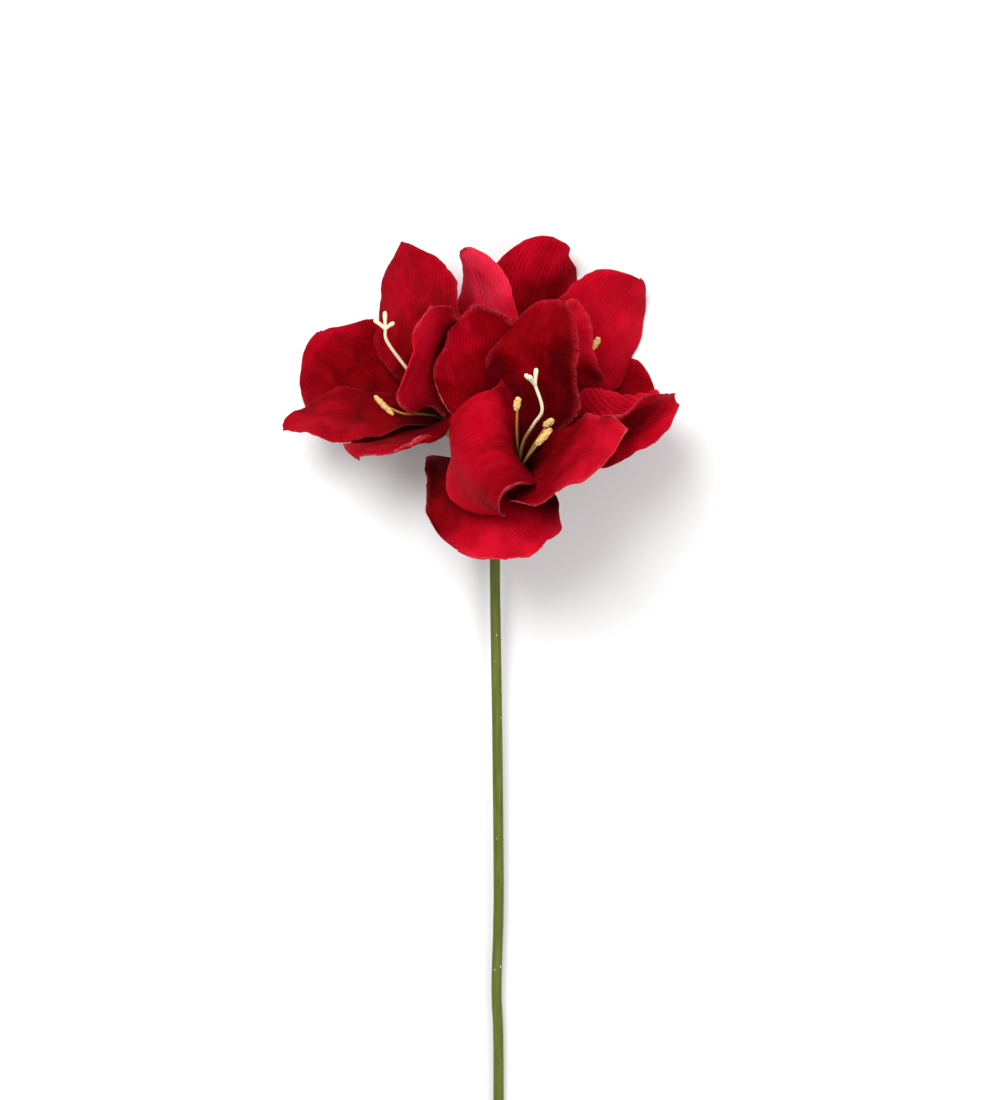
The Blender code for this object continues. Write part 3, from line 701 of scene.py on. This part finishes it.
def petal_piece(bloom, petal, place, material):
    """A petal of pressed cloth: two faces with ribs, and a rounded edge between them."""
    surface, across = petal_surface(petal)
    world = kept_above_floor(moved(surface, place), petal.lift)
    inward = face_directions(world)
    along = np.linspace(0, 1, ROWS)[:, None]
    half = np.abs(across).max(axis=1, keepdims=True)
    rib, shown, relief = ribs_and_midrib(petal, across, along, half)
    to_margin = np.minimum(half - np.abs(across), (1 - along) * petal.length)
    thin = smooth_step(to_margin / EDGE_THINS_OVER)
    thickness = EDGE_THICKNESS + (THICKNESS - EDGE_THICKNESS) * thin
    outer = world + inward * relief[..., None]
    inner = outer + inward * thickness[..., None]
    order = rim_order(ROWS, COLUMNS)
    middle = 0.5 * (outer + inner).reshape(-1, 3)[order]
    round_about = np.roll(middle, -1, axis=0) - np.roll(middle, 1, axis=0)
    outside = unit_rows(np.cross(inward.reshape(-1, 3)[order], round_about))
    rim = middle + outside * 0.5 * thickness.reshape(-1, 1)[order]
    points = np.concatenate([outer.reshape(-1, 3), inner.reshape(-1, 3), rim])
    points[:, 2] = np.maximum(points[:, 2], FLOOR_GAP)

    def everywhere(values):
        """Values of the outer face's points, given to the inner face and the rim too."""
        values = np.broadcast_to(values, across.shape).reshape(-1)
        return np.concatenate([values, values, values[order]])

    own_layer = np.full(len(points), TEXTURE_SHIFT * petal.turn)
    body = Body()
    body.add(
        points,
        blade_faces(order),
        rib=everywhere(rib),
        ribbed=everywhere(shown),
        edge=everywhere(np.exp(-to_margin / MARGIN_BAND)),
        margin=everywhere(to_margin),
        along=everywhere(along),
        inside=np.repeat((0.0, 1.0, 0.5), (across.size, across.size, len(order))),
        # tone and slope paint light and shade: the whole petal lighter above zero and darker below, and one
        # side lighter than the other
        tone=petal.tone + petal.slope * everywhere(across / np.maximum(half, 1.0)),
        pale=np.full(len(points), petal.pale),
        flat=np.stack([everywhere(across), everywhere(along * petal.length), own_layer], axis=-1),
    )
    node = f"petal_{bloom.name}_{petal.name}"
    body.finished(f"fine_{node}", material, "petal_red", node)


def sweep(points, radii, sides, section=None):
    """A closed tube's points and faces, with each point's place along it.

    A section, if there is one, changes the radius round the tube: it takes the turn and the share
    along, and gives a factor.
    """
    points = np.array([tuple(point) for point in points], float)
    forward = unit_rows(np.gradient(points, axis=0))
    side = unit_rows(np.cross(forward[0], OFF_AXIS))
    turns = np.linspace(0, 2 * math.pi, sides, endpoint=False)
    rings = []
    for number, (point, ahead, radius) in enumerate(zip(points, forward, radii)):
        side = unit_rows(side - ahead * np.dot(side, ahead))
        other = np.cross(ahead, side)
        share = number / (len(points) - 1)
        factor = section(turns, share) if section else np.ones(sides)
        reach = (radius * factor)[:, None]
        rings.append(point + reach * (np.cos(turns)[:, None] * side + np.sin(turns)[:, None] * other))
    grid = np.concatenate([*rings, points[:1], points[-1:]])
    faces = grid_faces(len(points), sides, flipped=True, closed=True)
    first, last = len(points) * sides, len(points) * sides + 1
    for column in range(sides):
        beside = (column + 1) % sides
        faces.append((first, beside, column))
        faces.append((last, (len(points) - 1) * sides + column, (len(points) - 1) * sides + beside))
    along = np.concatenate([np.repeat(np.linspace(0, 1, len(points)), sides), [0.0, 1.0]])
    return grid, faces, along


def rounded(count, power):
    """Radius shares of a body that is round at both ends."""
    share = np.linspace(-1, 1, count)
    return np.sqrt(np.clip(1 - np.abs(share) ** power, 0.0, 1.0)) + LEAST_RADIUS


def stalk_piece(material):
    """The stalk, with faint lengthwise ridges and a slightly uneven thickness."""
    drop = (STALK_TOP.z - FLOOR - STALK_RADIUS) / STALK_LENGTH
    bends = [STALK_TOP + Vector((aside, -down, -drop * down)) for down, aside in reversed(STALK_BENDS)]
    points = through(bends, STALK_RINGS)
    above = np.array([(point.y - STALK_TOP.y) / STALK_FLARE_LENGTH for point in points])
    radii = STALK_RADIUS + (STALK_TOP_RADIUS - STALK_RADIUS) * smooth_step(1 + above)
    radii = radii * (1 + STALK_UNEVEN * wave(np.linspace(0, 1, STALK_RINGS), 1.0, STALK_WAVES))
    radii[0] *= CUT_EDGE_SHARE

    def ridges(turns, share):
        waves = [height * np.cos(count * turns + drift * share) for count, drift, height in STALK_RIDGES]
        return 1 + sum(waves)

    grid, faces, along = sweep([point - Vector(HOME) for point in points], radii, STALK_SIDES, ridges)
    grid[:, 2] = np.maximum(grid[:, 2], FLOOR_GAP)
    body = Body()
    body.add(grid, faces, along=along)
    body.finished("fine_stem", material, "stem_green", "stem")


def pedicel_piece(bloom, place, material):
    """The bloom's own short stalk, which swells into a seat of three soft lobes."""
    turn = math.radians(bloom.pedicel_turn)
    start = STALK_TOP - Vector(HOME) + UP_THE_STALK * SEAT_GAP
    start += PEDICEL_SPREAD * Vector((math.cos(turn), 0.0, math.sin(turn)))
    facing = place.to_3x3() @ Vector((0, 0, 1))
    end = place.translation - SEAT_GAP * facing
    bend_from = start + PEDICEL_STRAIGHT * UP_THE_STALK
    bend_to = end - PEDICEL_STRAIGHT * facing
    pulls = (bend_from + PEDICEL_START_PULL * UP_THE_STALK, bend_to - PEDICEL_END_PULL * facing)
    points = [start, *bezier((bend_from, *pulls, bend_to), PEDICEL_RINGS), end]
    swelling = smooth_step((np.linspace(0, 1, PEDICEL_RINGS) - SWELL_FROM) / (1 - SWELL_FROM))
    radii = PEDICEL_RADIUS + (SEAT_RADIUS - PEDICEL_RADIUS) * swelling
    radii = np.concatenate([[PEDICEL_START_SHARE * radii[0]], radii, [PEDICEL_END_SHARE * radii[-1]]])

    def lobes(turns, share):
        grown = smooth_step((share - SEAT_LOBES_FROM) * SEAT_LOBES_PACE)
        return 1 - SEAT_LOBE_DEPTH * grown * (1 - np.cos(SEAT_LOBES * turns))

    grid, faces, along = sweep(points, radii, PEDICEL_SIDES, lobes)
    body = Body()
    body.add(grid, faces, along=along)
    node = f"pedicel_{bloom.name}"
    body.finished(f"fine_{node}", material, "pedicel_green", node)


def add_foot(body, place):
    """The ring-shaped foot that carries a bloom's filaments."""
    turns = np.linspace(0, 2 * math.pi, FOOT_RINGS, endpoint=False)
    ring = []
    for turn in (*turns, turns[0]):
        ring.append((FOOT_RADIUS * math.cos(turn), FOOT_RADIUS * math.sin(turn), FOOT_THICKNESS))
    grid, faces, along = sweep(ring, [FOOT_TUBE_SHARE * FOOT_THICKNESS] * len(ring), FOOT_SIDES)
    body.add(moved(grid, place), faces, along=np.zeros_like(along), anther=np.zeros_like(along))


def grooved(turns, share, seed):
    """Radius shares round an anther: two halves with a groove at each side, and small lumps."""
    halves = 1 + ANTHER_HALVES * np.cos(2 * turns)
    groove = ANTHER_GROOVE * np.exp(-((np.sin(turns) / GROOVE_WIDTH) ** 2))
    lumps = 0.0
    for count, drift, shift, height in ANTHER_LUMPS:
        lumps = lumps + height * np.sin(count * turns + drift * share + shift * seed)
    return halves - groove + lumps


def add_anther(body, place, near, far, ahead, seed):
    """An anther from its near to its far end, bowed the way that its filament runs."""
    share = np.linspace(0, 1, ANTHER_RINGS)
    bow = ANTHER_BOW * (1 - (2 * share - 1) ** 2)
    spots = np.linspace(-ANTHER_OVERRUN, 1 + ANTHER_OVERRUN, ANTHER_RINGS)
    spine = [near.lerp(far, spot) + ahead * aside for spot, aside in zip(spots, bow)]
    uneven = 1 + ANTHER_UNEVEN * wave(share, seed, ANTHER_WAVES)
    radii = ANTHER_SHARE * ANTHER_RADIUS * rounded(ANTHER_RINGS, ANTHER_POWER) * uneven
    grid, faces, along = sweep(spine, radii, ANTHER_SIDES, partial(grooved, seed=seed))
    body.add(moved(grid, place), faces, along=along, anther=np.ones_like(along))


def stamens_piece(bloom, place, material):
    """The bloom's stamens: tapered filaments on a ring-shaped foot, with grooved anthers."""
    body = Body()
    add_foot(body, place)
    share = np.linspace(0, 1, FILAMENT_RINGS)
    for number, stamen in enumerate(bloom.stamens):
        turn = math.radians(stamen.turn)
        start = (FOOT_RADIUS * math.cos(turn), FOOT_RADIUS * math.sin(turn), FOOT_THICKNESS)
        near, far = (Vector(point) for point in stamen.anther)
        points = through((start, *stamen.by, near.lerp(far, 0.5)), FILAMENT_RINGS)
        uneven = FILAMENT_UNEVEN * wave(share, number, FILAMENT_WAVES)
        radii = FILAMENT_RADIUS * (FILAMENT_START - FILAMENT_TAPER * share + uneven)
        grid, faces, along = sweep(points, radii, FILAMENT_SIDES)
        body.add(moved(grid, place), faces, along=along, anther=np.zeros_like(along))
        ahead = (points[-1] - points[-FILAMENT_END_POINTS]).normalized()
        add_anther(body, place, near, far, ahead, number)
    node = f"stamens_{bloom.name}"
    body.finished(f"fine_{node}", material, "stamen_yellow", node)


def pistil_piece(bloom, place, material):
    """The bloom's pistil: a tapered style that ends in three rounded fingers."""
    body = Body()
    points = through(bloom.style, STYLE_RINGS)
    share = np.linspace(0, 1, STYLE_RINGS)
    uneven = STYLE_UNEVEN * wave(share, STYLE_SEED, STYLE_WAVES)
    radii = STYLE_RADIUS * (STYLE_START - STYLE_TAPER * share + uneven)
    grid, faces, along = sweep(points, radii, STYLE_SIDES)
    body.add(moved(grid, place), faces, along=along)
    coarse = through(bloom.style, SOLID_STYLE_POINTS)
    meet = coarse[-1].lerp(coarse[-2], STIGMA_OVERLAP)
    ahead = (points[-1] - points[-3]).normalized()
    share = np.linspace(0, 1, STIGMA_RINGS)
    swelling = STIGMA_SWELL * smooth_step((share - STIGMA_SWELLS_FROM) * STIGMA_SWELLS_PACE)
    round_end = np.sqrt(np.clip(1 - share**STIGMA_ROUNDING, 0, 1))
    for number, lobe in enumerate(bloom.stigma):
        tip = Vector(lobe)
        pull = meet.lerp(tip, STIGMA_PULL_PLACE) + ahead * STIGMA_PULL
        spine = bezier((meet, pull, tip), STIGMA_RINGS)
        uneven = 1 + STIGMA_UNEVEN * wave(share, number, STIGMA_WAVES)
        radii = STIGMA_RADIUS * (STIGMA_START + swelling) * uneven * round_end + LEAST_RADIUS
        grid, faces, along = sweep(spine, radii, STIGMA_SIDES)
        body.add(moved(grid, place), faces, along=np.ones_like(along))
    node = f"pistil_{bloom.name}"
    body.finished(f"fine_{node}", material, "pistil_cream", node)


# Materials

class Paint:
    """A material with its nodes, made step by step."""

    def __init__(self, name, roughness=0.6, **settings):
        self.material = bpy.data.materials.new(name)
        self.material.use_nodes = True
        self.tree = self.material.node_tree
        self.shader = self.tree.nodes["Principled BSDF"]
        self.shader.inputs["Roughness"].default_value = roughness
        for socket, value in settings.items():
            self.shader.inputs[socket.replace("_", " ")].default_value = value

    def node(self, kind, inputs=None, **settings):
        """Adds a node; an input is a number, a colour or another node's output."""
        made = self.tree.nodes.new(f"ShaderNode{kind}")
        for key, value in settings.items():
            setattr(made, key, value)
        for key, value in (inputs or {}).items():
            if isinstance(value, bpy.types.NodeSocket):
                self.tree.links.new(value, made.inputs[key])
            elif isinstance(value, tuple) and len(value) == 3 and made.inputs[key].type == "RGBA":
                made.inputs[key].default_value = (*value, 1.0)
            else:
                made.inputs[key].default_value = value
        return made

    def value(self, name):
        """A value that each point of the mesh holds."""
        return self.node("Attribute", attribute_name=name).outputs["Fac"]

    def place(self, name, stretch=(1.0, 1.0, 1.0)):
        """A place that each point of the mesh holds, stretched for a texture."""
        where = self.node("Attribute", attribute_name=name).outputs["Vector"]
        return self.node("Mapping", {"Vector": where, "Scale": stretch}).outputs[0]

    def object_place(self, stretch=(1.0, 1.0, 1.0)):
        """The point's own place in metres, stretched for a texture."""
        where = self.node("TexCoord").outputs["Object"]
        return self.node("Mapping", {"Vector": where, "Scale": stretch}).outputs[0]

    def noise(self, where, scale, detail=3.0, distortion=0.0):
        """A cloudy pattern from 0 to 1."""
        inputs = {"Vector": where, "Scale": scale, "Detail": detail, "Distortion": distortion}
        return self.node("TexNoise", inputs).outputs["Fac"]

    def math(self, operation, first, second=0.0):
        """A sum, product or other simple function of two values."""
        return self.node("Math", {0: first, 1: second}, operation=operation).outputs[0]

    def product(self, first, second):
        """Two values multiplied."""
        return self.math("MULTIPLY", first, second)

    def between(self, value, low, high, to_low=0.0, to_high=1.0, smooth=False):
        """The value's place from low to high, as a number between two others."""
        inputs = {"Value": value, "From Min": low, "From Max": high, "To Min": to_low, "To Max": to_high}
        kind = "SMOOTHSTEP" if smooth else "LINEAR"
        return self.node("MapRange", inputs, interpolation_type=kind).outputs["Result"]

    def blend(self, share, first, second):
        """A colour between two, by a share."""
        made = self.node("Mix", data_type="RGBA")
        for key, value in ((0, share), (6, first), (7, second)):
            if isinstance(value, bpy.types.NodeSocket):
                self.tree.links.new(value, made.inputs[key])
            else:
                made.inputs[key].default_value = (*value, 1.0) if isinstance(value, tuple) else value
        return made.outputs[2]

    def colour(self, output):
        """Sets the surface's colour."""
        self.tree.links.new(output, self.shader.inputs["Base Color"])

    def roughness(self, output):
        """Sets the surface's roughness."""
        self.tree.links.new(output, self.shader.inputs["Roughness"])

    def bump(self, height, depth):
        """Lets a height from 0 to 1 stand for a relief so deep, in millimetres."""
        bumped = self.node("Bump", {"Height": height, "Distance": depth * MM}).outputs["Normal"]
        self.tree.links.new(bumped, self.shader.inputs["Normal"])


def petal_material():
    """Velvety red cloth with pressed ribs, paler at its edges and dark in the throat. Its colour carries
    painted light: shade towards the throat, in the rib valleys and on shaded petals, and highlights on lit
    petals and along the margins.
    """
    paint = Paint("petal_cloth", 0.7, Sheen_Weight=0.02, Sheen_Roughness=0.45,
                  Sheen_Tint=(1.0, 0.1, 0.2, 1.0), Specular_IOR_Level=0.04,
                  Specular_Tint=(1.0, 0.06, 0.14, 1.0))
    where = paint.place("flat")
    margin = paint.value("margin")
    along = paint.value("along")
    inside = paint.value("inside")
    pale = paint.value("pale")
    cloud = paint.noise(where, CLOUD_SCALE, 3.0, 0.4)
    patch = paint.noise(paint.place("flat", (1.0, 0.45, 1.0)), PATCH_SCALE, 4.0)
    grain = paint.noise(where, GRAIN_SCALE, 2.0)
    ragged = paint.between(paint.noise(where, RAGGED_SCALE, 3.0), 0.3, 0.7)

    # Ribs, with finer ones between them
    shake = paint.between(patch, 0.3, 0.7, -RIB_SHAKE, RIB_SHAKE)
    shaky_rib = paint.math("ADD", paint.value("rib"), shake)
    valley = paint.math("ABSOLUTE", paint.math("SINE", paint.product(shaky_rib, math.pi)))
    valley = paint.math("POWER", paint.math("SUBTRACT", 1.0, valley), VALLEY_POWER)
    fine = paint.math("SINE", paint.product(shaky_rib, FINE_RIBS * math.pi))
    fine = paint.product(paint.between(fine, -1.0, 1.0), paint.between(patch, 0.35, 0.75))
    ribbed = paint.math("MINIMUM", paint.value("ribbed"), 1.0)

    # The red gets lighter outward from the throat, whose darkness is painted shade, in clouds, and with each
    # petal's painted light and shade; the pinkish top of the scale is a painted highlight
    outward = paint.math("ADD", along, paint.between(cloud, 0.3, 0.7, -CLOUD_REACH, CLOUD_REACH))
    outward = paint.math("ADD", outward, paint.product(paint.value("tone"), TONE_REACH))
    red = DARKEST_RED
    for low, high, lighter in LIGHTER_REDS:
        red = paint.blend(paint.between(outward, low, high, smooth=True), red, lighter)
    faded = paint.between(outward, 0.2, 1.2, 0.25, 1.0)
    red = paint.blend(paint.product(paint.between(patch, 0.45, 0.85, 0.0, PATCH_MOST), faded), red, PATCH_RED)
    red = paint.blend(paint.product(paint.between(grain, 0.35, 0.75, 0.0, GRAIN_MOST), faded), red, GRAIN_RED)
    # Painted shade: the rib valleys are darkened in the colour
    red = paint.blend(paint.product(paint.product(valley, ribbed), GROOVE_SHADE_MOST), red, GROOVE_SHADE_RED)

    # Paler edges: a thin one, partly the cut edge and partly painted sheen; a rim on both faces, which is a
    # painted highlight; and a band on the back, partly the cloth's paler back and partly painted sheen
    thin_edge_and_sheen = paint.product(paint.product(paint.value("edge"), ragged), EDGE_AND_SHEEN_MOST)
    red = paint.blend(thin_edge_and_sheen, red, EDGE_AND_SHEEN_RED)
    rim = paint.product(paint.between(margin, 4.5, 1.0), paint.between(pale, 0.6, 1.0, 0.0, RIM_HIGHLIGHT_MOST))
    red = paint.blend(paint.product(rim, ragged), red, RIM_HIGHLIGHT_RED)
    pale_back_and_sheen = paint.product(paint.math("SUBTRACT", 1.0, inside), paint.between(margin, 3.5, 0.5))
    red = paint.blend(paint.product(paint.product(pale_back_and_sheen, pale), ragged), red, PALE_BACK_AND_SHEEN_RED)

    # Painted shade darkens the throat inside, and a green claw outside
    throat = paint.product(paint.between(along, 0.4, 0.12, smooth=True), paint.between(inside, 0.4, 0.6))
    red = paint.blend(paint.product(throat, THROAT_SHADE_MOST), red, THROAT_SHADE_RED)
    claw = paint.product(paint.between(along, 0.1, 0.02, smooth=True), paint.between(inside, 0.6, 0.4))
    paint.colour(paint.blend(paint.product(claw, CLAW_MOST), red, CLAW_GREEN))

    paint.roughness(paint.between(patch, 0.2, 0.8, 0.62, 0.82))
    height = paint.product(paint.math("SUBTRACT", 1.0, valley), ribbed)
    for pattern, share in ((fine, FINE_RELIEF), (patch, PATCH_RELIEF), (grain, GRAIN_RELIEF)):
        height = paint.math("ADD", height, paint.product(pattern, share))
    paint.bump(height, CLOTH_RELIEF)
    return paint.material


def stalk_material(name, green, light, dark):
    """Green plastic skin with lengthwise mottling and a few pale specks."""
    paint = Paint(name, 0.55, Specular_IOR_Level=0.2)
    streak = paint.noise(paint.object_place((1.0, 0.12, 1.0)), 420.0, 4.0)
    cloud = paint.noise(paint.object_place(), 90.0, 3.0)
    colour = paint.blend(paint.between(streak, 0.35, 0.65), dark, light)
    colour = paint.blend(paint.between(cloud, 0.3, 0.7, 0.2, 0.8), colour, green)
    cells = paint.node("TexVoronoi", {"Vector": paint.object_place((1.0, 0.5, 1.0)), "Scale": 330.0})
    chosen = paint.between(paint.noise(paint.object_place(), 260.0, 1.0), 0.64, 0.7)
    speck = paint.product(paint.between(cells.outputs["Distance"], 0.22, 0.12), chosen)
    paint.colour(paint.blend(speck, colour, SPECK))
    paint.roughness(paint.between(streak, 0.3, 0.7, 0.4, 0.62))
    paint.bump(paint.math("ADD", streak, paint.product(cloud, 0.5)), 0.12)
    return paint.material


def stamen_material():
    """Moulded plastic: green-yellow filaments that darken towards their foot as painted shade, and golden
    anthers dusted with paler pollen specks that also serve as painted highlights.
    """
    paint = Paint("stamen_plastic", 0.5, Specular_IOR_Level=0.35)
    along = paint.value("along")
    where = paint.object_place()
    filament = paint.blend(paint.between(along, 0.15, 0.9, smooth=True), FILAMENT_SHADED_FOOT, FILAMENT_YELLOW)
    dust = paint.noise(where, 1500.0, 3.0)
    patch = paint.noise(where, 420.0, 3.0)
    anther = paint.blend(paint.between(patch, 0.3, 0.65), ANTHER_BROWN, ANTHER_GOLD)
    anther = paint.blend(paint.between(dust, 0.44, 0.64, 0.0, 0.8), anther, POLLEN_AND_HIGHLIGHT)
    paint.colour(paint.blend(paint.value("anther"), filament, anther))
    paint.roughness(paint.between(dust, 0.3, 0.7, 0.45, 0.75))
    paint.bump(paint.product(dust, paint.between(paint.value("anther"), 0.0, 1.0, 0.15, 1.0)), 0.3)
    return paint.material


def pistil_material():
    """Moulded cream plastic, brown towards its foot."""
    paint = Paint("pistil_plastic", 0.45, Specular_IOR_Level=0.4)
    where = paint.object_place()
    along = paint.value("along")
    cream = paint.blend(paint.noise(where, 300.0, 2.0), DARK_CREAM, LIGHT_CREAM)
    foot = paint.blend(paint.between(along, 0.3, 0.08, smooth=True), STYLE_BROWN, STYLE_FOOT)
    paint.colour(paint.blend(paint.between(along, 0.68, 0.46, smooth=True), cream, foot))
    paint.bump(paint.noise(where, 900.0, 2.0), 0.08)
    return paint.material


def floor_material():
    """A matt, nearly white surface."""
    paint = Paint("floor_paper", 0.9, Specular_IOR_Level=0.1)
    shade = paint.noise(paint.object_place(), 6.0, 3.0)
    paint.colour(paint.blend(shade, *FLOOR_GREYS))
    return paint.material


# The stage

def add_light(name, place, size, watts):
    """A square soft white light that looks at the blooms."""
    data = bpy.data.lights.new(name, "AREA")
    data.shape = "SQUARE"
    data.size = size
    data.energy = watts
    lamp = bpy.data.objects.new(name, data)
    lamp.location = place
    lamp.rotation_mode = "QUATERNION"
    lamp.rotation_quaternion = (Vector(LIGHTS_AIM) - Vector(place)).to_track_quat("-Z", "Y")
    bpy.context.scene.collection.objects.link(lamp)


def add_floor():
    """A pale floor, wide enough for every view."""
    mesh = bpy.data.meshes.new("floor")
    reach = FLOOR_REACH
    corners = [(-reach, -reach, 0), (reach, -reach, 0), (reach, reach, 0), (-reach, reach, 0)]
    mesh.from_pydata(corners, [], [(0, 1, 2, 3)])
    mesh.materials.append(floor_material())
    floor = bpy.data.objects.new("floor", mesh)
    bpy.context.scene.collection.objects.link(floor)


def add_lights():
    """Soft studio light: a pale surround, a large lamp from the upper left and a weaker one opposite."""
    world = bpy.data.worlds.new("studio")
    bpy.context.scene.world = world
    world.use_nodes = True
    background = world.node_tree.nodes["Background"]
    background.inputs["Color"].default_value = (1.0, 1.0, 1.0, 1.0)
    background.inputs["Strength"].default_value = SURROUND
    add_light("key", place=(-0.5, 0.9, 1.7), size=1.1, watts=36.0)
    add_light("fill", place=(0.9, -0.3, 1.6), size=1.2, watts=15.0)


def add_camera():
    """Straight above the photograph's middle, at the photograph's scale."""
    data = bpy.data.cameras.new("camera")
    data.sensor_width = SENSOR
    data.lens = SENSOR * CAMERA_DISTANCE / (PICTURE_HEIGHT * MM_PER_PIXEL)
    data.clip_start = NEAREST_SEEN
    data.clip_end = FURTHEST_SEEN
    camera = bpy.data.objects.new("camera", data)
    camera.location = (Vector((0.0, 0.0, CAMERA_DISTANCE)) - Vector(HOME)) * MM
    bpy.context.scene.collection.objects.link(camera)
    bpy.context.scene.camera = camera


def dress():
    """Makes every piece in its finish."""
    cloth = petal_material()
    stamen = stamen_material()
    pistil = pistil_material()
    stalk = stalk_material("stalk_skin", *STALK_GREENS)
    seat = stalk_material("seat_skin", *SEAT_GREENS)
    stalk_piece(stalk)
    for bloom in BLOOMS:
        place = bloom_place(bloom)
        pedicel_piece(bloom, place, seat)
        stamens_piece(bloom, place, stamen)
        pistil_piece(bloom, place, pistil)
        for petal in bloom.petals:
            petal_piece(bloom, petal, place, cloth)


dress()
add_floor()
add_lights()
add_camera()
bpy.context.scene.view_settings.view_transform = "Standard"
